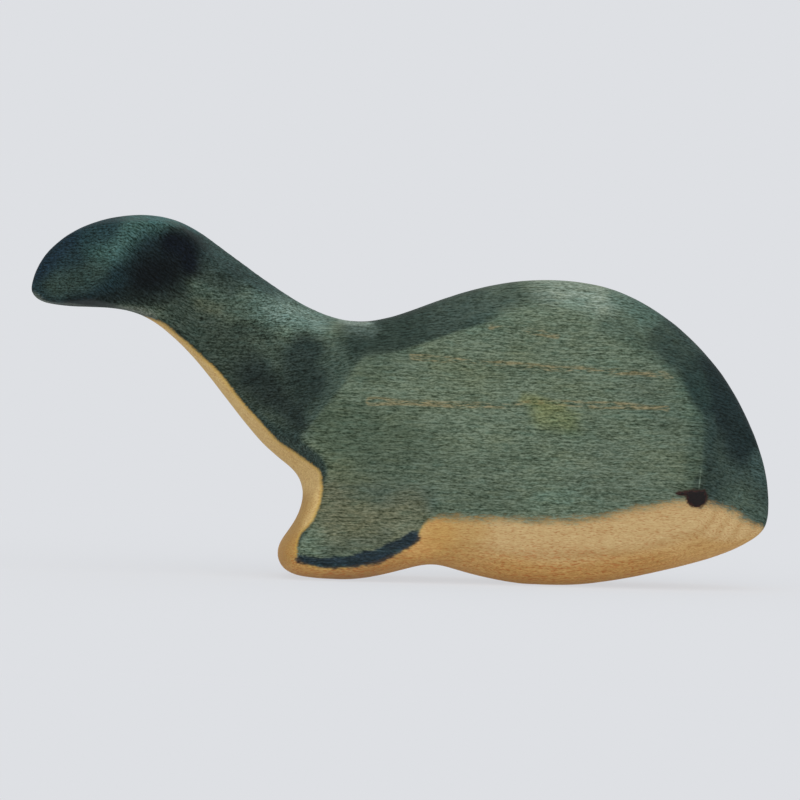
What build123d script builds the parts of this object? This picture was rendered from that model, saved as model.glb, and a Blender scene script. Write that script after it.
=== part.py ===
from build123d import *
import math
import os

# A toy whale carved from one board. It faces +X, stands on its belly and fin at Z = 0,
# and is the same on both sides of the XZ plane. All lengths are in millimetres.

# The board
body_length = 200.0
body_height = 96.4
board_thickness = 38.0

# Width of the knife bevel between the flat side and each stretch of the outline
back_bevel = 9.5
head_bevel = 10.5
snout_bevel = 4.5
belly_bevel = 10.0
fin_bevel = 4.4
tail_bevel = 8.0
fluke_bevel = 2.4

# How deep a bevel goes: the share of the half thickness, from the middle of the board, at which
# it leaves the sawn edge, and how much of the half thickness the sanding rounds there
shallow_bevel_start_share = 0.68
snout_bevel_start_share = 0.55
belly_bevel_start_share = 0.25
tail_under_start_share = 0.30
tail_back_start_share = 0.05
sanded_share = 0.12
bevel_steps = 14

# How much of a bevel's width is rolled round by the sanding, between a knife's flat slope and
# a full round
crisp_roll_share = 0.0
soft_roll_share = 0.85

# The tail, hollowed on each side between the body and the fluke
stock_thickness = 17.4
scoop_radius = 62.0
fluke_ridge_thickness = 34.0
fluke_end_thickness = 11.0

# The snout, cut back on each side from an upright crease
snout_thickness = 17.0

# The flats sanded on the belly and the fin, which the whale stands on
foot_flat_depth = 0.35

# The painted eyes: a round dab with a flat top, and a short streak from it towards the tail
eye_radius = 2.85
eye_top_height = 1.55
eye_streak_length = 5.4
eye_streak_width = 1.2
paint_thickness = 0.25

# How far a cut runs past the wood
overrun = 8.0

# The outline, clockwise from the tip of the fluke, as shares of the length and of the height
fluke_shares = [(0.000, 0.790), (0.021, 0.888), (0.069, 0.963), (0.130, 0.9985), (0.203, 0.979)]
tail_back_shares = [(0.254, 0.917), (0.328, 0.811), (0.395, 0.739)]
back_shares = [(0.447, 0.719), (0.495, 0.741), (0.551, 0.786), (0.637, 0.838), (0.708, 0.850)]
head_shares = [(0.784, 0.827), (0.863, 0.742), (0.928, 0.613), (0.974, 0.455)]
snout_shares = [(0.9955, 0.320), (0.9998, 0.232), (0.995, 0.178), (0.9815, 0.149)]
belly_shares = [(0.940, 0.101), (0.880, 0.060), (0.793, 0.018), (0.712, 0.000), (0.640, 0.010), (0.587, 0.034)]
fin_shares = [(0.551, 0.050), (0.515, 0.036), (0.471, 0.012), (0.420, 0.000), (0.380, 0.005),
              (0.349, 0.030), (0.341, 0.075), (0.354, 0.131), (0.373, 0.225)]
tail_under_shares = [(0.368, 0.276), (0.336, 0.338), (0.275, 0.473), (0.195, 0.657)]
fluke_under_shares = [(0.145, 0.723), (0.086, 0.739), (0.033, 0.743), (0.006, 0.762)]

# The creases that the knife left and the middle of the eye, as shares of the length and height
tail_crease_foot_share = (0.367, 0.384)
tail_crease_top_share = (0.465, 0.656)
fluke_ridge_foot_share = (0.085, 0.788)
fluke_ridge_top_share = (0.132, 0.992)
snout_crease_foot_share = (0.902, 0.000)
eye_share = (0.901, 0.260)

half_thickness = board_thickness / 2


def place(share):
    """Point of the side view that stands at a share of the length and of the height."""
    x_share, z_share = share
    sawn_height = body_height + foot_flat_depth
    return Vector((x_share - 0.5) * body_length, z_share * sawn_height - foot_flat_depth)


def crease_plane(foot_share, top_share):
    """Plane across a crease, with its local X towards the tail and its local Y out of the side."""
    foot, top = place(foot_share), place(top_share)
    along = Vector(top.X - foot.X, 0, top.Y - foot.Y).normalized()
    towards_tail = Vector(-along.Z, 0, along.X)
    return Plane(origin=(foot.X, 0, foot.Y), x_dir=towards_tail, z_dir=along)


def knife_cut(start, end):
    """Corners of a cut that takes the wood off a side, beyond the line through two points."""
    past = (end - start).normalized() * overrun
    first, last = start - past, end + past
    cleared = half_thickness + overrun
    return [first, last, (last.X, cleared), (first.X, cleared)]


def cut_share(depth_share, start_share, roll_share):
    """Share of a bevel's width that is cut away at a share of the depth."""
    def sanded(share):
        past_start = share - start_share
        return past_start + math.hypot(past_start, sanded_share)

    slope = (sanded(depth_share) - sanded(0)) / (sanded(1) - sanded(0))
    round_depth = max(depth_share - start_share, 0) / (1 - start_share)
    quarter_round = 1 - math.sqrt(1 - round_depth**2)
    return slope + (quarter_round - slope) * roll_share


# Each stretch of the outline, with the width of its bevel, where the bevel starts and its roll
stretches = [
    (fluke_shares, fluke_bevel, tail_under_start_share, crisp_roll_share),
    (tail_back_shares, tail_bevel, tail_back_start_share, crisp_roll_share),
    (back_shares, back_bevel, shallow_bevel_start_share, crisp_roll_share),
    (head_shares, head_bevel, shallow_bevel_start_share, crisp_roll_share),
    (snout_shares, snout_bevel, snout_bevel_start_share, crisp_roll_share),
    (belly_shares, belly_bevel, belly_bevel_start_share, soft_roll_share),
    (fin_shares, fin_bevel, belly_bevel_start_share, soft_roll_share),
    (tail_under_shares, tail_bevel, tail_under_start_share, crisp_roll_share),
    (fluke_under_shares, fluke_bevel, tail_under_start_share, crisp_roll_share),
]
with BuildLine() as outline:
    sawn_line = Spline(*[place(share) for shares, *bevel in stretches for share in shares], periodic=True)

# Each point of the sawn line, the way that its bevel runs in square to that line, and its shape
bevel_runs = []
for shares, width, start_share, roll_share in stretches:
    for share in shares:
        point = place(share)
        tangent = sawn_line.tangent_at(sawn_line.param_at_point(point))
        bevel_runs.append((point, Vector(tangent.Y, -tangent.X) * width, start_share, roll_share))

# The body is carved as its right half and then mirrored
with BuildPart() as body:
    # Half of the board with its edge bevelled, through outlines that shrink towards the side and
    # that lie closer together near the side, where a rolled edge turns most
    for step in range(bevel_steps + 1):
        depth_share = math.sin(math.pi / 2 * step / bevel_steps)
        with BuildSketch(Plane.XZ.offset(depth_share * half_thickness)):
            with BuildLine():
                Spline(*[point + run * cut_share(depth_share, *shape) for point, run, *shape in bevel_runs],
                       periodic=True)
            make_face()
    loft(ruled=True)

    # The hollow side of the tail, a round scoop that starts at the tail crease
    scoop_centre_height = scoop_radius + stock_thickness / 2
    scoop_reach = math.sqrt(scoop_radius**2 - (scoop_centre_height - half_thickness) ** 2)
    with BuildSketch(crease_plane(tail_crease_foot_share, tail_crease_top_share)):
        with Locations((scoop_reach, scoop_centre_height)):
            Circle(scoop_radius)
    extrude(amount=body_length, both=True, mode=Mode.SUBTRACT)

    # The fluke thins from its ridge to its end
    fluke_plane = crease_plane(fluke_ridge_foot_share, fluke_ridge_top_share)
    fluke_end = place(fluke_shares[0])
    fluke_reach = fluke_plane.to_local_coords(Vector(fluke_end.X, 0, fluke_end.Y)).X
    ridge_edge = Vector(0, fluke_ridge_thickness / 2)
    end_edge = Vector(fluke_reach, fluke_end_thickness / 2)
    with BuildSketch(fluke_plane):
        Polygon(*knife_cut(ridge_edge, end_edge), align=None)
    extrude(amount=body_length, both=True, mode=Mode.SUBTRACT)

    # The snout narrows from an upright crease to its front
    snout_crease = place(snout_crease_foot_share)
    snout_plane = Plane(origin=(snout_crease.X, 0, snout_crease.Y), x_dir=(1, 0, 0), z_dir=(0, 0, -1))
    crease_edge = Vector(0, half_thickness)
    front_edge = Vector(body_length / 2 - snout_crease.X, snout_thickness / 2)
    with BuildSketch(snout_plane):
        Polygon(*knife_cut(crease_edge, front_edge), align=None)
    extrude(amount=body_length, both=True, mode=Mode.SUBTRACT)

    mirror(about=Plane.XZ)

    # The flats that it stands on
    split(bisect_by=Plane.XY, keep=Keep.TOP)

# A dab of thick paint that bends over the snout crease with the wood under it
with BuildPart() as eye_right:
    paint = Vector(0, paint_thickness)
    rear_edge = crease_edge - Vector(eye_streak_length + overrun, 0)
    with BuildSketch(snout_plane):
        wood_line = [rear_edge, crease_edge, front_edge]
        Polygon(*wood_line, *[corner + paint for corner in reversed(wood_line)], align=None)
    extrude(amount=body_height, both=True)

    eye_centre = place(eye_share)
    eye_top = eye_centre + Vector(0, eye_top_height)
    streak_middle = eye_top + Vector(-eye_streak_length / 2, -eye_streak_width / 2)
    with BuildSketch(Plane.XZ):
        with Locations(eye_centre):
            Circle(eye_radius)
        with Locations(eye_top):
            Rectangle(2 * eye_radius, eye_radius, align=(Align.CENTER, Align.MIN), mode=Mode.SUBTRACT)
        with Locations(streak_middle):
            SlotCenterToCenter(eye_streak_length, eye_streak_width)
    extrude(amount=board_thickness, mode=Mode.INTERSECT)

with BuildPart() as eye_left:
    mirror(eye_right.part, about=Plane.XZ)

os.makedirs("parts", exist_ok=True)
for name, piece in (("body", body), ("eye_right", eye_right), ("eye_left", eye_left)):
    piece.part.label = name
    export_step(piece.part, f"parts/{name}.step")
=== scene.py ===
import math

import bmesh
import bpy
import numpy as np
from mathutils import Matrix, Vector, noise
from mathutils.bvhtree import BVHTree


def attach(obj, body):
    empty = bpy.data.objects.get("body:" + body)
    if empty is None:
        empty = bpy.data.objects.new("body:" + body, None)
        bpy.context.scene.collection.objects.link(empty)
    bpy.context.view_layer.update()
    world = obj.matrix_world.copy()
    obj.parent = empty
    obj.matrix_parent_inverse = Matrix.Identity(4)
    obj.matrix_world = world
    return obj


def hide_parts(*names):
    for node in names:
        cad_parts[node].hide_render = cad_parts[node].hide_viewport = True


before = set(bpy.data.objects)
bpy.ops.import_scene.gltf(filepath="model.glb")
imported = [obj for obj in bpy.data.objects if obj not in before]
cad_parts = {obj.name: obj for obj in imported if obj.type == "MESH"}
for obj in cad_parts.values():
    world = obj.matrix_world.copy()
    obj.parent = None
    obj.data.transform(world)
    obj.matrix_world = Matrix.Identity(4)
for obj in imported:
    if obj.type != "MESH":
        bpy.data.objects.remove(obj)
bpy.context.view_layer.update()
mm = 0.001


def tone(red, green, blue):
    # a colour given on the screen's 0 to 255 scale, made linear for the shader
    shares = [channel / 255 for channel in (red, green, blue)]
    return [s / 12.92 if s <= 0.04045 else ((s + 0.055) / 1.055) ** 2.4 for s in shares] + [1.0]


def curveThrough(points, steps):
    # a smooth line through given points, with this many steps from each to the next
    ends = [2 * points[0] - points[1]] + list(points) + [2 * points[-1] - points[-2]]
    line = []
    for before, start, end, after in zip(ends, ends[1:], ends[2:], ends[3:]):
        for step in range(steps):
            t = step / steps
            line.append(0.5 * (2 * start + (end - before) * t
                               + (2 * before - 5 * start + 4 * end - after) * t ** 2
                               + (3 * start - before - 3 * end + after) * t ** 3))
    return np.array(line + [points[-1]])


def measureToLine(places, line, batch=4000):
    # for each place: how far it is from the line, on which side, and how far along the line
    starts, runs = line[:-1], np.diff(line, axis=0)
    lengths = np.linalg.norm(runs, axis=1)
    reached = np.concatenate([[0], np.cumsum(lengths)[:-1]])
    distance, side, along = (np.zeros(len(places)) for _ in range(3))
    for first in range(0, len(places), batch):
        part = slice(first, first + batch)
        offsets = places[part, None, :] - starts[None]
        share = np.clip((offsets * runs).sum(2) / lengths ** 2, 0, 1)
        gaps = offsets - share[..., None] * runs
        spans = np.hypot(gaps[..., 0], gaps[..., 1])
        nearest = spans.argmin(1)
        rows = np.arange(len(nearest))
        distance[part] = spans[rows, nearest]
        run, offset = runs[nearest], offsets[rows, nearest]
        side[part] = np.sign(run[:, 0] * offset[:, 1] - run[:, 1] * offset[:, 0])
        along[part] = reached[nearest] + share[rows, nearest] * lengths[nearest]
    return distance, side, along


# Camera: almost level with the whale and a little rolled, as the photograph was taken

cameraSettings = {
    "lens": 200.0, "sensor": 36.0,    # mm
    "distance": 1.2,                  # metres to the middle of the board
    "aim": (0.1 * mm, 48.4 * mm),     # x and z in the middle of the picture
    "elevation": 1.0, "roll": 1.574,  # degrees
}


def addCamera(settings):
    lift, roll = math.radians(settings["elevation"]), math.radians(settings["roll"])
    aim = Vector((settings["aim"][0], 0, settings["aim"][1]))
    back = Vector((0, -math.cos(lift), math.sin(lift)))
    rolled = Matrix.Rotation(roll, 3, back)
    right = rolled @ Vector((1, 0, 0))
    up = back.cross(right)
    data = bpy.data.cameras.new("photographCamera")
    data.lens, data.sensor_width = settings["lens"], settings["sensor"]
    camera = bpy.data.objects.new("photographCamera", data)
    turned = Matrix((right, up, back)).transposed().to_4x4()
    camera.matrix_world = Matrix.Translation(aim + back * settings["distance"]) @ turned
    bpy.context.scene.collection.objects.link(camera)
    bpy.context.scene.camera = camera


addCamera(cameraSettings)
print("camera set")


# Shader writing: sockets that take part in sums, and one method for every other node

class Wire:
    def __init__(self, recipe, socket):
        self.recipe, self.socket = recipe, socket

    def __add__(self, other): return self.recipe.maths("ADD", self, other)
    def __radd__(self, other): return self.recipe.maths("ADD", other, self)
    def __sub__(self, other): return self.recipe.maths("SUBTRACT", self, other)
    def __rsub__(self, other): return self.recipe.maths("SUBTRACT", other, self)
    def __mul__(self, other): return self.recipe.maths("MULTIPLY", self, other)
    def __rmul__(self, other): return self.recipe.maths("MULTIPLY", other, self)
    def __truediv__(self, other): return self.recipe.maths("DIVIDE", self, other)
    def __pow__(self, other): return self.recipe.maths("POWER", self, other)
    def __rpow__(self, other): return self.recipe.maths("POWER", other, self)


class Recipe:
    def __init__(self, owner):
        # the owner is a new material or world
        owner.use_nodes = True
        self.owner, self.tree = owner, owner.node_tree
        self.tree.nodes.clear()

    def node(self, kind, settings=None, sockets=None, out=0):
        made = self.tree.nodes.new(kind)
        for setting, value in (settings or {}).items():
            setattr(made, setting, value)
        for name, value in (sockets or {}).items():
            if isinstance(value, Wire):
                self.tree.links.new(value.socket, made.inputs[name])
            else:
                made.inputs[name].default_value = value
        return Wire(self, made.outputs[out]) if len(made.outputs) else None

    def maths(self, operation, *values):
        return self.node("ShaderNodeMath", {"operation": operation}, dict(enumerate(values)))

    def mixColour(self, share, first, second, blend="MIX"):
        # by number, because a Mix node has a socket of each name for each kind of value
        return self.node("ShaderNodeMix", {"data_type": "RGBA", "blend_type": blend},
                         {0: share, 6: first, 7: second}, 2)

    def rise(self, value, start, end):
        # from 0 to 1 as the value goes from start to end
        return self.node("ShaderNodeMapRange", {"interpolation_type": "SMOOTHSTEP"},
                         {"Value": value, "From Min": start, "From Max": end})

    def fall(self, value, start, end):
        return 1.0 - self.rise(value, start, end)

    def measured(self, name, out="Fac"):
        # what was measured at each point of the mesh: a number or, with Color, a tone
        return self.node("ShaderNodeAttribute", {"attribute_name": name}, out=out)

    def placeInMm(self):
        place = self.node("ShaderNodeTexCoord", out="Object")
        return self.node("ShaderNodeVectorMath", {"operation": "SCALE"},
                         {0: place, "Scale": 1 / mm})

    def clouds(self, place, size, detail, roughness, stretch, shift):
        # soft noise in patches of this size in mm, drawn out along the axes
        spread = [1 / (size * share) for share in stretch]
        moved = self.node("ShaderNodeVectorMath", {"operation": "MULTIPLY_ADD"},
                          {0: place, 1: spread, 2: shift})
        return self.node("ShaderNodeTexNoise", {}, {"Vector": moved, "Scale": 1.0, "Detail": detail,
                                                    "Roughness": roughness})

    def swings(self, place, *look):
        # the same noise, to both sides of 0
        return self.clouds(place, *look) - 0.5

    def seen(self):
        # 1 where the camera sees a thing itself or in a shiny one, 0 where it only gives light
        rays = [self.node("ShaderNodeLightPath", out=f"Is {kind} Ray")
                for kind in ("Camera", "Glossy", "Transmission")]
        return self.node("ShaderNodeClamp", {}, {0: rays[0] + rays[1] + rays[2]})

    def finish(self, **sockets):
        sockets = {name.replace("_", " "): value for name, value in sockets.items()}
        shader = self.node("ShaderNodeBsdfPrincipled", {}, sockets)
        self.node("ShaderNodeOutputMaterial", {}, {"Surface": shader})
        return self.owner


# The body: the board as the source gives it, its saw and knife edges sanded round

bodySettings = {
    "weld": 0.001 * mm,         # corners closer than this are one
    "grid": 0.75 * mm,          # size of a facet of the remeshed wood
    "sanding": (16, 0.5),       # rounds of smoothing and the share of each
    "wave": 0.14 * mm,          # how uneven the hand-cut surface is
    "waveLength": 17.0 * mm,
    "dent": 0.05 * mm,          # the smaller unevenness on top
    "dentLength": 5.0 * mm,
    "seed": (3.1, 7.7, 1.9),
}


def carveBody(settings):
    body = bpy.data.objects.new("carvedBody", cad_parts["body"].data.copy())
    body.data.materials.clear()
    bpy.context.scene.collection.objects.link(body)
    shape = bmesh.new()
    shape.from_mesh(body.data)
    bmesh.ops.remove_doubles(shape, verts=shape.verts, dist=settings["weld"])
    shape.to_mesh(body.data)
    shape.free()

    grid = body.modifiers.new("evenGrid", "REMESH")
    grid.mode, grid.voxel_size = "VOXEL", settings["grid"]
    sanding = body.modifiers.new("sandedEdges", "SMOOTH")
    sanding.iterations, sanding.factor = settings["sanding"]
    depsgraph = bpy.context.evaluated_depsgraph_get()
    sanded = bpy.data.meshes.new_from_object(body.evaluated_get(depsgraph))
    body.modifiers.clear()
    body.data = sanded
    sanded.name = "carvedBody"

    seed = Vector(settings["seed"])
    normals = [vertex.normal.copy() for vertex in sanded.vertices]
    for vertex, normal in zip(sanded.vertices, normals):
        push = settings["wave"] * noise.noise(vertex.co / settings["waveLength"] + seed)
        push += settings["dent"] * noise.noise(vertex.co / settings["dentLength"] - seed)
        vertex.co += normal * push
        vertex.co.z = max(vertex.co.z, 0.0)
    sanded.shade_smooth()
    sanded.update()
    return body


body = carveBody(bodySettings)
print("body carved", len(body.data.vertices), "points", len(body.data.polygons), "faces")


# The painted eye: a round dab with a flat top and a streak towards the tail

eyeSettings = {
    "centre": (79.7, 25.15),       # x and z of the round dab, in mm as all that follows
    "radius": 2.7, "top": 1.65,    # of the dab, and the height of its flat top over the centre
    "streakReach": 5.2, "streakHeight": 0.8, "streakHalf": (0.80, 0.28),
    "ragged": 0.35, "raggedLength": 0.55, "raggedSeed": 2.0,   # how far the edge wanders
    "grid": 0.16, "halfSpread": 9.0,   # the sheet that the dab is cut from
    "above": 40.0,                 # where the sheet starts, out from the middle of the board
    "thickness": 0.20, "slope": 0.8,   # of the paint, and how far in from its edge it gets there
    "skirt": 0.2, "skirtDrop": 0.5,    # what is kept round the edge, and its slope into the wood
    "sunk": 0.4,                   # depth of the closed underside
    "darkTone": tone(14, 9, 9), "thinTone": tone(50, 22, 17), "haloTone": tone(50, 32, 25),
    # noise: size in mm, detail, roughness, stretch, shift
    "bristles": (0.4, 2.0, 0.5, (2.5, 1, 1), (0, 0, 0)),
    "speckle": (0.25, 1.0, 0.5, (1, 1, 1), (4, 2, 7)),
    "bristleDepth": 1.2, "thickRise": (-0.1, 0.55),   # thin at the ragged edge
    "speckleRise": (0.02, 0.25), "speckleShare": 0.35,
    "roughness": 0.55, "bristleRoughness": 0.4, "shine": 0.2,
    "reliefStrength": 0.6, "reliefDepth": 0.08 * mm, "speckleRelief": 0.5,
}


def depthInPaint(x, z, settings):
    # how far inside the painted shape a place is, in mm from the middle of the dab
    dab = np.minimum(settings["radius"] - np.hypot(x, z), settings["top"] - z)
    share = np.clip(-x / settings["streakReach"], 0, 1)
    first, last = settings["streakHalf"]
    streak = first + (last - first) * share - np.hypot(x + share * settings["streakReach"],
                                                       z - settings["streakHeight"])
    spots = np.column_stack((x, z)) / settings["raggedLength"]
    wander = np.array([noise.noise(Vector((*spot, settings["raggedSeed"]))) for spot in spots])
    return np.maximum(dab, streak) + settings["ragged"] * wander


# Where the brush went: the edge of the stain, the dark stroke on the fin, growth rings that show
# through, washes of thicker or thinner colour and some painted highlights and shade, all as lines
# in the camera's side view, in mm

brushSettings = {
    # from the fluke to the snout; the stain is above and ahead of this line
    "edge": [(-106, 72), (-98.5, 71.5), (-93.4, 70.6), (-82.8, 70.2), (-74.0, 69.7),
             (-65.8, 68.0), (-61.5, 65.4), (-55.3, 60.2), (-49.4, 55.0), (-42.7, 47.1),
             (-37.8, 41.9), (-32.6, 36.6), (-28.7, 34.0), (-21.5, 29.1), (-20.4, 25.6),
             (-20.5, 20.7), (-22.5, 15.2), (-25.4, 11.8), (-26.5, 8.6), (-26.2, 5.0),
             (-23.0, 3.3), (-17.6, 2.8), (-12.1, 3.3), (-6.8, 4.3), (-2.0, 6.2),
             (1.8, 8.1), (4.9, 10.2), (5.9, 12.4), (7.5, 15.0), (10.7, 16.7),
             (18.8, 16.9), (28.0, 16.9), (41.5, 16.7), (52.8, 17.6), (60.3, 19.4),
             (67.8, 21.2), (75.4, 22.8), (81.9, 22.7), (86.8, 22.0), (90.6, 20.6),
             (94.4, 18.2), (98.2, 16.9), (108.0, 14.0)],
    "softFrom": (6.0, 12.0), "softTo": (88.0, 108.0),   # x between which the edge is soft
    "crispWidth": 0.35, "softWidth": 1.45,
    "faceFrom": (-27.0, -21.0),    # x where the hollow of the tail gives way to the flat side
    # half width of the dark stroke at shares of its length, from the end nearer the tail
    "strokeShares": (0, 0.35, 0.5, 0.65, 0.8, 1), "strokeHalf": (1.25, 1.65, 2.0, 2.15, 2.0, 1.85),
    "stroke": [(-25.7, 4.8), (-20.3, 3.9), (-14.4, 4.1), (-9.5, 5.0), (-5.2, 5.9), (-1.0, 8.0),
               (2.2, 9.7), (4.9, 11.4)],
    "rings": [[(24, 68.6), (29.8, 68.4), (34.7, 68.0), (42, 66.8)],
              [(3, 60.5), (10.6, 59.8), (22.8, 59.3), (34.9, 58.6), (45.8, 58.0), (64.7, 57.5),
               (73, 56.8)],
              [(-8, 47.9), (8.2, 47.5), (19, 47.5), (29.8, 47.8), (37.9, 48.9), (59.5, 48.4),
               (72, 48.0)]],
    "lineSteps": 6,                # from each point of a line to the next
    "meander": (1.6, 9.0),         # how far and over what length a wash wanders off its path
    "meanderSeeds": [(4.3, 0.7, 8.1), (0.9, 6.2, 2.6)],
    "face": tone(95, 109, 91),         # stain along the grain
    "endGrain": tone(50, 65, 60),      # and where the grain ends in the surface
    "pale": tone(195, 166, 117),       # bare wood on the sides
    "paintedUnderside": tone(206, 165, 102),      # and underneath, with painted shade and bounce light where it faces down
    # how far the surface turns sideways, lengthways and down as each of these sets in, and how
    # many rounds of averaging make that soft
    "boardFace": ((0.90, 0.98), 6), "endGrainFrom": ((0.06, 0.55), 5),
    "paintedUndersideFrom": ((0.05, 0.95), 4),
    # where, path, reach and fade in mm, tone, share
    "washesAndPaintedLight": [
        ("all", [(-98, 78), (-86, 84), (-74, 86)], 9, 7, tone(30, 48, 51), 1.0),
        # painted highlight: a lighter teal band along the ridge of the fluke
        ("all", [(-66.5, 95), (-71.5, 94.5), (-74.2, 91.5), (-77, 88), (-81, 86)],
         0.8, 6, tone(62, 90, 84), 0.85),
        ("all", [(-84, 91), (-80, 94)], 1, 5, tone(38, 60, 62), 0.7),
        ("all", [(-93, 76.5), (-88, 78), (-83, 81)], 0.5, 5, tone(54, 70, 60), 0.6),
        ("all", [(-99, 80), (-96, 86), (-90, 91)], 0.5, 5, tone(22, 38, 50), 0.75),
        # painted shade along the top edge of the fluke
        ("all", [(-96, 87), (-88, 93), (-81, 96.5), (-75, 98.5)], 0.5, 2.5, tone(22, 38, 40), 0.35),
        ("all", [(-88, 72), (-80, 73.2), (-72, 75)], 0.5, 4.5, tone(18, 26, 26), 0.85),
        ("all", [(-54, 90), (-44, 83), (-34, 76)], 2, 6, tone(52, 70, 66), 0.85),
        ("all", [(-52, 76), (-44, 72), (-36, 69)], 1, 6, tone(58, 75, 66), 0.75),
        # lighter along the top edge of the tail: worn stain and painted sheen
        ("all", [(-38, 72), (-30, 70), (-21, 69.5)], 0.8, 5, tone(82, 102, 92), 0.8),
        ("all", [(-43, 66), (-37, 64), (-32, 60)], 0.5, 4, tone(44, 57, 50), 0.7),
        # lighter on the upper bevel of the tail: worn stain and painted sheen
        ("all", [(-34, 72.5), (-27, 70.5), (-22, 69)], 0.6, 4.5, tone(104, 124, 114), 0.75),
        ("all", [(-58, 69), (-52, 65), (-44, 58), (-37, 51)], 3, 8, tone(42, 53, 46), 0.85),
        ("all", [(-52, 82), (-47, 79)], 1, 5, tone(34, 46, 43), 0.7),
        ("all", [(-40, 54), (-33, 47.5), (-27, 43)], 1, 8, tone(33, 43, 40), 0.95),
        ("all", [(-25.5, 60.5), (-27, 56), (-24, 51)], 2.5, 6, tone(38, 50, 46), 0.95),
        ("bevel", [(-23, 43), (-16.5, 54), (-10, 65)], 0.3, 3.5, tone(68, 84, 74), 0.5),
        ("all", [(-70, 74), (-65.5, 75.5), (-60.5, 77.5)], 1.5, 5, tone(30, 39, 35), 0.9),
        ("all", [(-68.5, 81), (-64.5, 85.5), (-60, 86.5)], 3, 7.5, tone(23, 33, 34), 0.9),
        ("all", [(-68.5, 80.2), (-63.5, 82)], 1.5, 6, tone(12, 17, 19), 0.9),
        ("all", [(-62.5, 89.3), (-59, 87), (-57, 83.5)], 0.8, 4.2, tone(12, 18, 25), 0.95),
        # painted highlight: teal along the top edge of the tail stock
        ("all", [(-68, 96.5), (-62, 96), (-56, 93.5)], 0.3, 2.5, tone(64, 98, 98), 0.6),
        ("bevel", [(-9, 66), (1.8, 67.5), (10.3, 70.5), (17, 73.5)], 4, 6, tone(38, 52, 47), 0.9),
        # painted highlights: one where the tail's top dips, and a thin one along its edge
        ("all", [(-13, 67.5), (-8.5, 67)], 0.5, 3, tone(110, 128, 120), 0.4),
        ("all", [(-19.5, 70.9), (-14, 69.3), (-9.5, 68.8)], 0.4, 1.2, tone(136, 152, 142), 0.65),
        ("bevel", [(12, 73), (20, 76), (27, 79)], 2, 8, tone(64, 78, 70), 0.7),
        ("bevel", [(22, 74.5), (31, 77), (39, 78)], 0.5, 5, tone(62, 76, 67), 0.7),
        # lighter top of the back: thinner stain and painted highlight
        ("bevel", [(41, 82), (48, 81), (55, 79)], 2, 8, tone(122, 136, 122), 0.95),
        ("all", [(56, 69.4), (64.5, 65), (72, 60), (78, 52)], 0.5, 3.5, tone(62, 80, 70), 0.5),
        ("bevel", [(60, 77.5), (66, 73)], 2, 5, tone(78, 100, 90), 0.75),
        ("bevel", [(83, 57), (85, 53), (91, 45), (94, 40)], 3, 6.5, tone(28, 40, 40), 0.95),
        ("bevel", [(81.5, 44), (83, 34)], 0.5, 5, tone(40, 54, 52), 0.6),
        ("all", [(69.5, 66.5), (73, 64), (78, 58.5), (81, 52.5)], 1, 4, tone(42, 57, 52), 0.8),
        ("all", [(79.5, 55.5), (82, 50)], 1.5, 3, tone(42, 57, 52), 0.8),
        ("bevel", [(97, 36), (98.5, 30)], 0.3, 3, tone(60, 78, 74), 0.6),
        ("all", [(84.9, 46), (84.3, 40), (83.1, 33), (82.5, 27)], 1.0, 0.6, tone(47, 62, 58), 0.85),
        ("bevel", [(84, 30), (88, 26)], 1, 5, tone(46, 60, 56), 0.8),
        ("bevel", [(91, 23), (98, 19)], 1, 6, tone(70, 86, 76), 0.8),
        ("side", [(-19, 40), (-8, 37), (0, 35)], 3, 11, tone(68, 82, 66), 0.8),
        ("side", [(-9, 56), (0, 61.5)], 1, 6, tone(74, 89, 75), 0.6),
        ("side", [(-16, 22), (-8, 20)], 4, 9, tone(88, 95, 74), 0.7),
        ("side", [(-2, 30), (14, 26), (26, 24)], 2, 11, tone(80, 93, 78), 0.6),
        ("side", [(56, 30), (72, 28), (80, 34)], 4, 12, tone(86, 99, 85), 0.5),
        # painted highlight: a light line along the snout crease
        ("all", [(80.6, 44), (80.4, 38), (79.6, 29)], 0.6, 4.2, tone(64, 81, 71), 0.7),
        ("all", [(81.6, 29), (81.4, 26)], 0.6, 1.8, tone(48, 60, 54), 0.8),
        ("side", [(64, 54), (72.5, 46)], 2, 6, tone(84, 97, 82), 0.8),
        ("side", [(-17, 23.5), (-4, 23), (8, 21)], 1, 4, tone(70, 84, 76), 0.5),
        ("all", [(-19, 20), (-14, 14), (-4, 14), (3, 17)], 3, 6, tone(103, 103, 80), 0.55),
        ("side", [(38, 46), (46, 43.5)], 0.5, 5, tone(116, 122, 68), 0.4),
        ("side", [(33.5, 49.4), (44, 47.8)], 0.3, 2, tone(118, 120, 66), 0.4),
        ("all", [(-18, 7.5), (-10, 9), (-3, 12)], 0.5, 3, tone(72, 84, 74), 0.5),
        ("all", [(-54, 72.5), (-50, 71.5)], 0.5, 3, tone(96, 100, 74), 0.25),
        # painted highlight along the bottom edge of the fluke
        ("all", [(-98.5, 73), (-93, 71.2), (-83, 70.7), (-74, 70.3), (-67, 69.2)],
         0.2, 1.3, tone(104, 110, 98), 0.6),
    ],
    # the same on the bare wood
    "glows": [
        # painted light: the bare band under the tail, lightened where its bevel faces down and away
        ("all", [(-62, 63), (-45, 46), (-26, 28), (-24, 18)], 3, 5, tone(212, 182, 122), 0.9),
        ("all", [(-29, 8), (-24, 0), (-8, 0), (6, 6), (12, 13)], 2, 6, tone(198, 154, 90), 0.8),
        ("all", [(-16, 0), (-6, 1)], 1, 4, tone(178, 136, 84), 0.6),
        ("all", [(-26, 20), (-28.5, 12), (-29, 6)], 1, 4, tone(174, 139, 80), 0.85),
        ("all", [(-8, 3.5), (-2, 5), (2, 7)], 0.4, 3, tone(170, 130, 78), 0.5),
        ("all", [(20, 14), (14, 12)], 2, 7, tone(182, 146, 84), 0.6),
        ("all", [(30, 1), (50, 0), (70, 5)], 1, 6, tone(196, 150, 82), 0.5),
    ],
}


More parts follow.
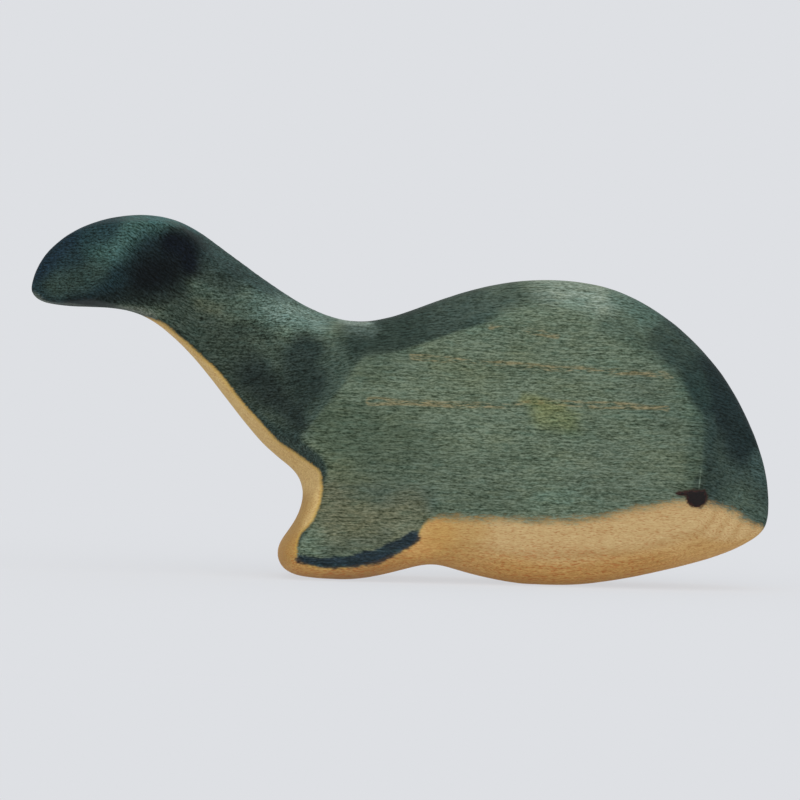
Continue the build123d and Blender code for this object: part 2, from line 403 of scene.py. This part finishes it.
def measureBody(body, settings):
    mesh = body.data
    count = len(mesh.vertices)
    places, normals = np.zeros(count * 3), np.zeros(count * 3)
    mesh.vertices.foreach_get("co", places)
    mesh.vertices.foreach_get("normal", normals)
    places, normals = places.reshape(-1, 3) / mm, normals.reshape(-1, 3)

    # the side view as the camera sees it, where the nearer side looks a little larger
    aim = np.array(cameraSettings["aim"]) / mm
    reach = cameraSettings["distance"] / mm
    near = np.abs(places[:, 1])
    sideView = aim + (places[:, [0, 2]] - aim) * (reach / (reach - near))[:, None]
    sideView[:, 1] -= near * math.tan(math.radians(cameraSettings["elevation"]))

    links = np.zeros(len(mesh.edges) * 2, dtype=int)
    mesh.edges.foreach_get("vertices", links)
    links = links.reshape(-1, 2)
    neighbours = np.bincount(links.ravel(), minlength=count)

    def average(values, rounds):
        for _ in range(rounds):
            total = np.bincount(links[:, 0], values[links[:, 1]], count)
            total += np.bincount(links[:, 1], values[links[:, 0]], count)
            values = (values + total / neighbours) / 2
        return values

    def rise(values, start, end):
        share = np.clip((values - start) / (end - start), 0, 1)
        return share * share * (3 - 2 * share)

    def blend(tones, share, colour):
        return tones + share[:, None] * (np.array(colour) - tones)

    def smooth(path):
        return curveThrough([np.array(point, dtype=float) for point in path], settings["lineSteps"])

    # one pair of wandering offsets for each point, so that no wash has a ruled edge
    far, length = settings["meander"]
    seeds = [Vector(seed) for seed in settings["meanderSeeds"]]
    wander = np.array([[noise.noise(Vector(place) / length + seed) for seed in seeds]
                       for place in places])
    wandered = sideView + wander * far

    distance, side, _ = measureToLine(sideView, smooth(settings["edge"]))
    strokeDistance, _, strokeReach = measureToLine(sideView, smooth(settings["stroke"]))
    strokeShare = strokeReach / strokeReach.max()
    strokeDistance -= np.interp(strokeShare, settings["strokeShares"], settings["strokeHalf"])
    toRings = [measureToLine(sideView, smooth(ring))[0] for ring in settings["rings"]]
    soft = rise(places[:, 0], *settings["softFrom"]) * (1 - rise(places[:, 0], *settings["softTo"]))
    width = settings["crispWidth"] + soft * (settings["softWidth"] - settings["crispWidth"])

    def turned(values, setting):
        (start, end), rounds = settings[setting]
        return rise(average(values, rounds), start, end)

    boardFace = turned(np.abs(normals[:, 1]), "boardFace")
    where = {"all": np.ones(count), "side": boardFace * rise(places[:, 0], *settings["faceFrom"]),
             "bevel": 1 - boardFace}
    stain, bare = np.tile(settings["face"], (count, 1)), np.tile(settings["pale"], (count, 1))
    stain = blend(stain, turned(np.abs(normals[:, 0]), "endGrainFrom"), settings["endGrain"])
    # painted shade and bounce light: the bare wood turns a warmer amber where it faces down
    bare = blend(bare, turned(-normals[:, 2], "paintedUndersideFrom"), settings["paintedUnderside"])

    def washed(tones, washesAndPaintedLight):
        for part, path, reach, fade, colour, share in washesAndPaintedLight:
            away, _, _ = measureToLine(wandered, smooth(path))
            covered = where[part] * share * (1 - rise(away, reach, reach + fade))
            tones = blend(tones, covered, colour)
        return tones

    stain, bare = washed(stain, settings["washesAndPaintedLight"]), washed(bare, settings["glows"])

    # the eye's paint soaks into the wood round it, on the sides of the head only
    fromEye = places[:, [0, 2]] - np.array(eyeSettings["centre"])
    around = np.abs(fromEye).max(1) < eyeSettings["halfSpread"]
    close = np.flatnonzero(around & (near > eyeSettings["radius"]))
    eyeDepth = np.full(count, -eyeSettings["halfSpread"])
    eyeDepth[close] = depthInPaint(fromEye[close, 0], fromEye[close, 1], eyeSettings)

    for name, values in {"stainDepth": distance * side, "stainWidth": width,
                         "sideShare": where["side"], "strokeDistance": strokeDistance,
                         "ringDistance": np.min(toRings, axis=0), "eyeDepth": eyeDepth}.items():
        layer = mesh.attributes.new(name, "FLOAT", "POINT")
        layer.data.foreach_set("value", values.astype(np.float32))
    for name, tones in {"stainTone": stain, "bareTone": bare}.items():
        layer = mesh.attributes.new(name, "FLOAT_COLOR", "POINT")
        layer.data.foreach_set("color", tones.astype(np.float32).ravel())


measureBody(body, brushSettings)
print("stain measured")


# The wood under the brush, as one shader. What ends in Rise or Fall is a pair of values between
# which a share goes from 0 to 1 or from 1 to 0. Lengths and places are in mm.

woodSettings = {
    "rimTone": tone(196, 160, 78),      # the yellow rim that the stain pushes ahead of it
    "strokeTone": tone(25, 39, 50), "strokeGlint": tone(55, 80, 84),
    "creaseHighlightTone": tone(128, 146, 128),    # painted highlight along the snout crease
    "streakTone": tone(126, 110, 72),   # growth rings that show through the stain
    "ringTone": tone(158, 116, 62),     # and on the bare wood
    "fleckTone": tone(158, 90, 40), "redFleckTone": tone(178, 94, 42),
    "blueTint": (0.87, 0.99, 1.03, 1), "oliveTint": (1.08, 1.02, 0.92, 1),   # drifts in the stain
    "stainChannels": (1.09, 1.0, 1.12),   # how far the grain darkens red, green and blue
    "bareChannels": (0.70, 1.10, 1.50),

    # noise: size in mm, detail, roughness, stretch along, through and up the board, shift
    "noise": {
        "slowSway": (6, 1, 0.5, (2, 1, 1), (0, 0, 0)),
        "quickSway": (1.5, 0, 0.5, (2, 1, 1), (0, 0, 0)),
        "dashes": (0.34, 0, 0.5, (2.9, 2.5, 1), (0, 0, 0)),
        "threads": (0.33, 0, 0.5, (7, 3, 1), (5, 8, 2)),
        "fine": (0.20, 0, 0.5, (2.6, 2, 1), (7, 3, 5)),
        "streaks": (1.3, 1, 0.5, (13, 4, 1), (11, 2, 4)),
        "jostle": (0.9, 1, 0.5, (2.2, 2, 1), (2, 6, 9)),
        "patches": (11, 3, 0.55, (2, 1, 1), (3, 9, 1)),
        "warp": (24, 0, 0.5, (2, 1, 1), (5, 5, 5)),
        "shown": (6, 1, 0.5, (3, 1, 1), (1, 4, 8)),
        "flecks": (0.21, 0, 0.5, (5, 2, 1), (2, 8, 6)),
        "redFlecks": (0.27, 0, 0.5, (6, 3, 1), (4, 1, 7)),
        "edge": (2.2, 2, 0.5, (2, 1, 1), (9, 1, 2)),
        "drift": (14, 3, 0.6, (1.8, 1, 1), (8, 1, 5)),
        "tint": (1, 2, 0.6, (4, 1, 1), (3, 3, 8)),
        "wobble": (5, 1, 0.5, (2.5, 1, 1), (6, 6, 3)),
        "torn": (1.8, 2, 0.5, (1.5, 1, 1), (4, 4, 1)),
        "glint": (2.4, 1, 0.5, (2.4, 1, 1), (8, 8, 2)),
    },
    # how much of which noise sways the grain, shades each finish, makes each edge ragged, breaks
    # up the growth rings in the stain and stands out as relief
    "sway": {"slowSway": 1.6, "quickSway": 0.45},
    "bareGrain": {"dashes": 0.24, "fine": 0.28, "threads": 0.28, "streaks": 0.16},
    "stainGrain": {"dashes": 1.45, "threads": 1.2, "fine": 1.0, "streaks": 0.65, "ripple": 0.19},
    "strokeGrain": {"dashes": 1.3, "threads": 1.3, "fine": 1.0},
    "stainEdge": {"dashes": 1.2, "threads": 1.2, "edge": 1.6},
    "strokeEdge": {"dashes": 0.6, "threads": 0.6, "torn": 1.1},
    "haloEdge": {"dashes": 0.8, "fine": 0.8},
    "streakPatches": {"threads": 0.8, "streaks": 1.2},
    "relief": {"dashes": 1.0, "fine": 0.5, "streaks": 0.5},

    # the grain: dashes lean with the rays of the wood, bend down towards the fluke's end and get
    # shorter and stronger on the tail
    "raySpacing": 1.03, "rayTilt": 0.6, "rayJostle": 10.0,
    "bendFrom": -55.0, "bend": 0.36, "shortFrom": -24.0, "short": 0.5,
    "tailStrength": 0.35, "tailFall": (-34.0, -14.0),

    # growth rings round the middle of the tree, at this y and z, fainter on the tail, and flecks
    "pith": (60.0, -8.0), "ringWidth": 2.3, "ringWarp": 1.5, "ringRise": (-0.6, 1.0),
    "shownRise": (0.3, 0.7), "hiddenShare": 0.07, "shownShare": 0.23,
    "ringTailLoss": 0.55, "ringTailFall": (-22.0, 4.0),
    "fleckRise": (0.54, 0.72), "fleckShare": 0.44,
    "redFleckRise": (0.56, 0.68), "redFleckFall": (4.0, 14.0), "redFleckShare": 0.5,   # low down

    # the stain: its edge and the pool of colour inside it are in widths of the edge
    "edgeRise": (-1.3, 1.3), "rimRise": (-1.0, -0.2), "rimFall": (0.1, 0.9),
    "rimShare": 0.6, "rimLoss": 0.45, "rimLossRise": (-10.0, 20.0),
    "oliveRise": (0.5, 0.75), "blueFall": (0.28, 0.5), "driftShare": 0.8, "tintShare": 0.6,
    "streakWobble": 2.0, "streakOff": 0.4, "streakHalf": 0.8, "patchyRise": (-0.18, 0.16),
    "streakShare": 0.55,
    # x, z and lean of the snout crease, its half width and the heights between which a painted
    # highlight lies along it
    "crease": (80.5, 31.0, 0.08), "creaseHalf": 0.3,
    "creaseRise": (25.5, 28.5), "creaseFall": (30.5, 34.0), "creaseShare": 0.36,
    "crispPool": 0.25, "softPool": 0.05, "softRise": (0.5, 1.2), "poolFall": (0.8, 4.0),
    "overDark": 0.45,                   # how much further the grain darkens than it lightens
    "patchShare": 0.30, "lift": 0.03,

    # the dark stroke, the stain round the eye, and the surface
    "strokeFall": (-0.55, 0.45), "strokeShare": 0.92, "glintRise": (0.5, 0.8), "glintShare": 0.7,
    "haloRise": (-0.7, 0.05), "haloShare": 0.85,
    "roughness": 0.66, "dashRoughness": 0.3, "stainRoughness": 0.08, "shine": 0.10,
    "reliefStrength": 0.5, "reliefDepth": 0.09 * mm,
}


def stainedWood(settings):
    wood = Recipe(bpy.data.materials.new("stainedBeech"))
    place = wood.placeInMm()
    x, y, z = (wood.node("ShaderNodeSeparateXYZ", {}, {0: place}, axis) for axis in range(3))

    def cloud(name, where):
        return wood.clouds(where, *settings["noise"][name])

    def swing(name, where):
        return wood.swings(where, *settings["noise"][name])

    fields = {name: cloud(name, place) for name in ("slowSway", "quickSway")}
    fields.update({name: swing(name, place) for name in ("edge", "torn")})

    def mixture(name):
        # the sum of the fields that are listed under this name, each by its share
        total, *others = (fields[field] * share for field, share in settings[name].items())
        for other in others:
            total = total + other
        return total

    # short dashes along the grain that turn to dots where the grain ends: they are rays seen
    # edge on, thin across the ray, wider along it, and tilted in the board
    bent, shortened = (wood.maths("MAXIMUM", settings[start] - x, 0.0)
                       for start in ("bendFrom", "shortFrom"))
    along = y - z * settings["rayTilt"]
    across = z + y * settings["rayTilt"] - bent * settings["bend"]
    swayed = wood.node("ShaderNodeCombineXYZ", {}, {0: x - shortened * settings["short"], 1: along,
                                                    2: across + mixture("sway")})
    for name in ("dashes", "threads", "fine", "streaks"):
        fields[name] = swing(name, swayed)
    rays = across * (2 * math.pi / settings["raySpacing"])
    jostled = rays + swing("jostle", swayed) * settings["rayJostle"]
    fields["ripple"] = wood.maths("COSINE", jostled)

    # bare wood, with growth rings and flecks
    fromY, fromZ = y - settings["pith"][0], z - settings["pith"][1]
    radius = (fromY * fromY + fromZ * fromZ) ** 0.5
    turns = radius / settings["ringWidth"] + cloud("warp", place) * settings["ringWarp"]
    ring = wood.rise(wood.maths("COSINE", turns * (2 * math.pi)), *settings["ringRise"])
    shown = wood.rise(cloud("shown", place), *settings["shownRise"])
    quiet = 1.0 - settings["ringTailLoss"] * wood.fall(x, *settings["ringTailFall"])
    ringShare = ring * (settings["hiddenShare"] + settings["shownShare"] * shown) * quiet
    bare = wood.mixColour(ringShare, wood.measured("bareTone", "Color"), settings["ringTone"])
    fleck = wood.rise(cloud("flecks", swayed), *settings["fleckRise"])
    bare = wood.mixColour(fleck * settings["fleckShare"], bare, settings["fleckTone"])
    low = wood.fall(z, *settings["redFleckFall"])
    redFleck = wood.rise(cloud("redFlecks", swayed), *settings["redFleckRise"]) * low
    bare = wood.mixColour(redFleck * settings["redFleckShare"], bare, settings["redFleckTone"])

    # how far inside the stain a place is, with its edge broken up by the dashes
    width = wood.measured("stainWidth")
    reached = wood.measured("stainDepth") + mixture("stainEdge") * width
    stained = wood.rise(reached / width, *settings["edgeRise"])
    rim = wood.rise(reached, *settings["rimRise"]) * wood.fall(reached, *settings["rimFall"])
    rimShare = settings["rimShare"] - settings["rimLoss"] * wood.rise(x, *settings["rimLossRise"])
    bare = wood.mixColour(rim * rimShare, bare, settings["rimTone"])

    # stain that drifts to olive and blue
    stain = wood.measured("stainTone", "Color")
    for field, share in ((cloud("drift", place), settings["driftShare"]),
                         (cloud("tint", swayed), settings["tintShare"])):
        olive = wood.rise(field, *settings["oliveRise"]) * share
        stain = wood.mixColour(olive, stain, settings["oliveTint"], "MULTIPLY")
        blue = wood.fall(field, *settings["blueFall"]) * share
        stain = wood.mixColour(blue, stain, settings["blueTint"], "MULTIPLY")

    # growth rings that show through it
    wobble = swing("wobble", place) * settings["streakWobble"]
    off = wood.maths("ABSOLUTE", wood.measured("ringDistance") - settings["streakOff"] + wobble)
    patchy = wood.rise(mixture("streakPatches"), *settings["patchyRise"])
    through = wood.fall(off, 0.0, settings["streakHalf"]) * patchy * wood.measured("sideShare")
    stain = wood.mixColour(through * settings["streakShare"], stain, settings["streakTone"])

    # a painted highlight along the snout crease, lighter than the stain on both sides of it
    creaseX, creaseZ, lean = settings["crease"]
    beside = wood.maths("ABSOLUTE", x - creaseX - (z - creaseZ) * lean)
    lighterShare = wood.rise(z, *settings["creaseRise"]) * wood.fall(z, *settings["creaseFall"])
    lighterShare = lighterShare * wood.fall(beside, 0.0, settings["creaseHalf"])
    stain = wood.mixColour(lighterShare * settings["creaseShare"], stain, settings["creaseHighlightTone"])

    # how the grain shades the stain, which pools inside a crisp edge
    soft = wood.rise(width, *settings["softRise"])
    pool = settings["crispPool"] - (settings["crispPool"] - settings["softPool"]) * soft
    pooled = pool * wood.fall(reached / width, *settings["poolFall"])
    strength = 1.0 + settings["tailStrength"] * wood.fall(x, *settings["tailFall"])
    grain = mixture("stainGrain")
    patches = swing("patches", place) * settings["patchShare"]
    grain = (grain - grain * grain * settings["overDark"]) * strength
    stainShade = grain + patches - pooled + settings["lift"]

    # the dark stroke along the fin
    beyond = wood.measured("strokeDistance") + mixture("strokeEdge")
    stroke = wood.fall(beyond, *settings["strokeFall"])
    glint = wood.rise(cloud("glint", place), *settings["glintRise"]) * settings["glintShare"]
    strokeTone = wood.mixColour(glint, settings["strokeTone"], settings["strokeGlint"])

    def shaded(colour, shade, channels):
        # lighter or darker, by a share of its own in red, green and blue
        light = wood.node("ShaderNodeCombineColor", {}, {spot: math.e ** (shade * share)
                                                         for spot, share in enumerate(channels)})
        return wood.mixColour(1.0, colour, light, "MULTIPLY")

    bare = shaded(bare, mixture("bareGrain"), settings["bareChannels"])
    stain = shaded(stain, stainShade, settings["stainChannels"])
    strokeTone = shaded(strokeTone, mixture("strokeGrain"), settings["stainChannels"])
    colour = wood.mixColour(stained, bare, stain)
    colour = wood.mixColour(stroke * settings["strokeShare"], colour, strokeTone)
    halo = wood.rise(wood.measured("eyeDepth") + mixture("haloEdge"), *settings["haloRise"])
    colour = wood.mixColour(halo * settings["haloShare"], colour, eyeSettings["haloTone"])

    roughness = settings["roughness"] + fields["dashes"] * settings["dashRoughness"]
    roughness = roughness + stained * settings["stainRoughness"]
    relief = wood.node("ShaderNodeBump", {}, {"Strength": settings["reliefStrength"],
                                              "Distance": settings["reliefDepth"],
                                              "Height": mixture("relief")})
    return wood.finish(Base_Color=colour, Roughness=roughness, Normal=relief,
                       Specular_IOR_Level=settings["shine"])


body.data.materials.append(stainedWood(woodSettings))
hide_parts("body")
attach(body, "root")
print("body stained")


def paintEye(name, side, settings):
    # a sheet laid on the wood, raised to the dome of the paint and closed under the surface
    shape = bmesh.new()
    layer = shape.verts.layers.float.new("paintDepth")
    steps = round(2 * settings["halfSpread"] / settings["grid"])
    bmesh.ops.create_grid(shape, x_segments=steps, y_segments=steps, size=settings["halfSpread"],
                          matrix=Matrix.Rotation(math.pi / 2, 4, "X"))
    flat = np.array([(vertex.co.x, vertex.co.z) for vertex in shape.verts])
    depths = depthInPaint(flat[:, 0], flat[:, 1], settings)
    for vertex, depth in zip(shape.verts, depths):
        vertex[layer] = depth
    outside = [vertex for vertex in shape.verts if vertex[layer] < -settings["skirt"]]
    bmesh.ops.delete(shape, geom=outside, context="VERTS")

    wood = BVHTree.FromObject(body, bpy.context.evaluated_depsgraph_get())
    middle = Vector((settings["centre"][0], 0, settings["centre"][1]))
    for vertex in shape.verts:
        start = (middle + vertex.co + Vector((0, side * settings["above"], 0))) * mm
        place, normal, _, _ = wood.ray_cast(start, Vector((0, -side, 0)))
        risen = min(max(vertex[layer], 0) / settings["slope"], 1)
        dome = settings["thickness"] * math.sqrt(risen * (2 - risen))
        lift = dome + min(vertex[layer], 0) * settings["skirtDrop"]
        vertex.co = place + normal * lift * mm
    grown = bmesh.ops.extrude_face_region(shape, geom=shape.faces[:])
    below = [item for item in grown["geom"] if isinstance(item, bmesh.types.BMVert)]
    bmesh.ops.translate(shape, verts=below, vec=(0, -side * settings["sunk"] * mm, 0))
    bmesh.ops.recalc_face_normals(shape, faces=shape.faces[:])
    mesh = bpy.data.meshes.new(name)
    shape.to_mesh(mesh)
    shape.free()
    mesh.shade_smooth()
    dab = bpy.data.objects.new(name, mesh)
    bpy.context.scene.collection.objects.link(dab)
    return dab


def eyePaint(settings):
    paint = Recipe(bpy.data.materials.new("darkPaint"))
    place = paint.placeInMm()
    bristles = paint.swings(place, *settings["bristles"])
    speckle = paint.swings(place, *settings["speckle"])
    depth = paint.measured("paintDepth") + bristles * settings["bristleDepth"]
    thick = paint.rise(depth, *settings["thickRise"])
    colour = paint.mixColour(thick, settings["thinTone"], settings["darkTone"])
    lighterShare = paint.rise(speckle, *settings["speckleRise"]) * settings["speckleShare"]
    colour = paint.mixColour(lighterShare, colour, settings["thinTone"])
    height = bristles + speckle * settings["speckleRelief"]
    relief = paint.node("ShaderNodeBump", {}, {"Strength": settings["reliefStrength"],
                                               "Distance": settings["reliefDepth"],
                                               "Height": height})
    roughness = settings["roughness"] + bristles * settings["bristleRoughness"]
    return paint.finish(Base_Color=colour, Roughness=roughness, Normal=relief,
                        Specular_IOR_Level=settings["shine"])


darkPaint = eyePaint(eyeSettings)
for name, cadName, side in (("paintedEyeRight", "eye_right", -1),
                            ("paintedEyeLeft", "eye_left", 1)):
    dab = paintEye(name, side, eyeSettings)
    dab.data.materials.append(darkPaint)
    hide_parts(cadName)
    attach(dab, "root")
    print("painted", cadName, len(dab.data.polygons), "faces")


# Floor, backdrop and light

studioSettings = {
    "backdrop": tone(222, 224, 228),
    "floorHalf": 6.0, "floorSteps": 8,   # half width in metres, and its facets each way
    "floorDrop": 0.02 * mm,
    "floorTone": tone(228, 230, 234),
    "floorGlow": 0.80,                # share of the floor's tone that no shadow reaches,
    "floorFade": (160.0, 360.0),      # up to all of it, this far from the middle in mm
    "bounce": 0.35,                   # light that the lit floor sends up under the whale
    "skyTop": 0.72, "skySide": 0.62,  # strengths
    "sunStrength": 1.15, "sunSpread": 90.0, "sunTilt": (44.0, 14.0),   # degrees
}


def addStudio(settings):
    shape = bmesh.new()
    bmesh.ops.create_grid(shape, x_segments=settings["floorSteps"],
                          y_segments=settings["floorSteps"], size=settings["floorHalf"])
    bmesh.ops.translate(shape, verts=shape.verts, vec=(0, 0, -settings["floorDrop"]))
    mesh = bpy.data.meshes.new("floor")
    shape.to_mesh(mesh)
    shape.free()
    floor = bpy.data.objects.new("floor", mesh)
    bpy.context.scene.collection.objects.link(floor)

    # the floor is paper with a faint shadow, which glows like the backdrop further away
    paper = Recipe(bpy.data.materials.new("paleFloor"))
    matt = paper.node("ShaderNodeBsdfDiffuse", {}, {"Color": settings["floorTone"]})
    glow = paper.node("ShaderNodeEmission", {}, {"Color": settings["backdrop"], "Strength": 1.0})
    away = paper.node("ShaderNodeVectorMath", {"operation": "LENGTH"}, {0: paper.placeInMm()}, 1)
    far = paper.rise(away, *settings["floorFade"])
    share = settings["floorGlow"] + (1 - settings["floorGlow"]) * far
    glowing = paper.seen() * (share - settings["bounce"]) + settings["bounce"]
    mixed = paper.node("ShaderNodeMixShader", {}, {0: glowing, 1: matt, 2: glow})
    paper.node("ShaderNodeOutputMaterial", {}, {"Surface": mixed})
    mesh.materials.append(paper.owner)

    # the sky lights the whale and looks like the backdrop
    sky = Recipe(bpy.data.worlds.new("studio"))
    way = sky.node("ShaderNodeTexCoord", out="Generated")
    height = sky.node("ShaderNodeSeparateXYZ", {}, {0: way}, 2)
    side, top = settings["skySide"], settings["skyTop"]
    level = side + (top - side) * sky.rise(height, 0.0, 1.0)
    light = sky.node("ShaderNodeBackground", {}, {"Color": (1, 1, 1, 1), "Strength": level})
    backdrop = sky.node("ShaderNodeBackground", {}, {"Color": settings["backdrop"],
                                                     "Strength": 1.0})
    mixed = sky.node("ShaderNodeMixShader", {}, {0: sky.seen(), 1: light, 2: backdrop})
    sky.node("ShaderNodeOutputWorld", {}, {"Surface": mixed})
    bpy.context.scene.world = sky.owner

    lamp = bpy.data.lights.new("softLamp", "SUN")
    lamp.energy, lamp.angle = settings["sunStrength"], math.radians(settings["sunSpread"])
    softLamp = bpy.data.objects.new("softLamp", lamp)
    forward, sideways = (math.radians(angle) for angle in settings["sunTilt"])
    softLamp.rotation_euler = (forward, sideways, 0)
    bpy.context.scene.collection.objects.link(softLamp)


addStudio(studioSettings)
bpy.context.scene.view_settings.view_transform = "Standard"
print("studio lit")

bpy.context.view_layer.update()
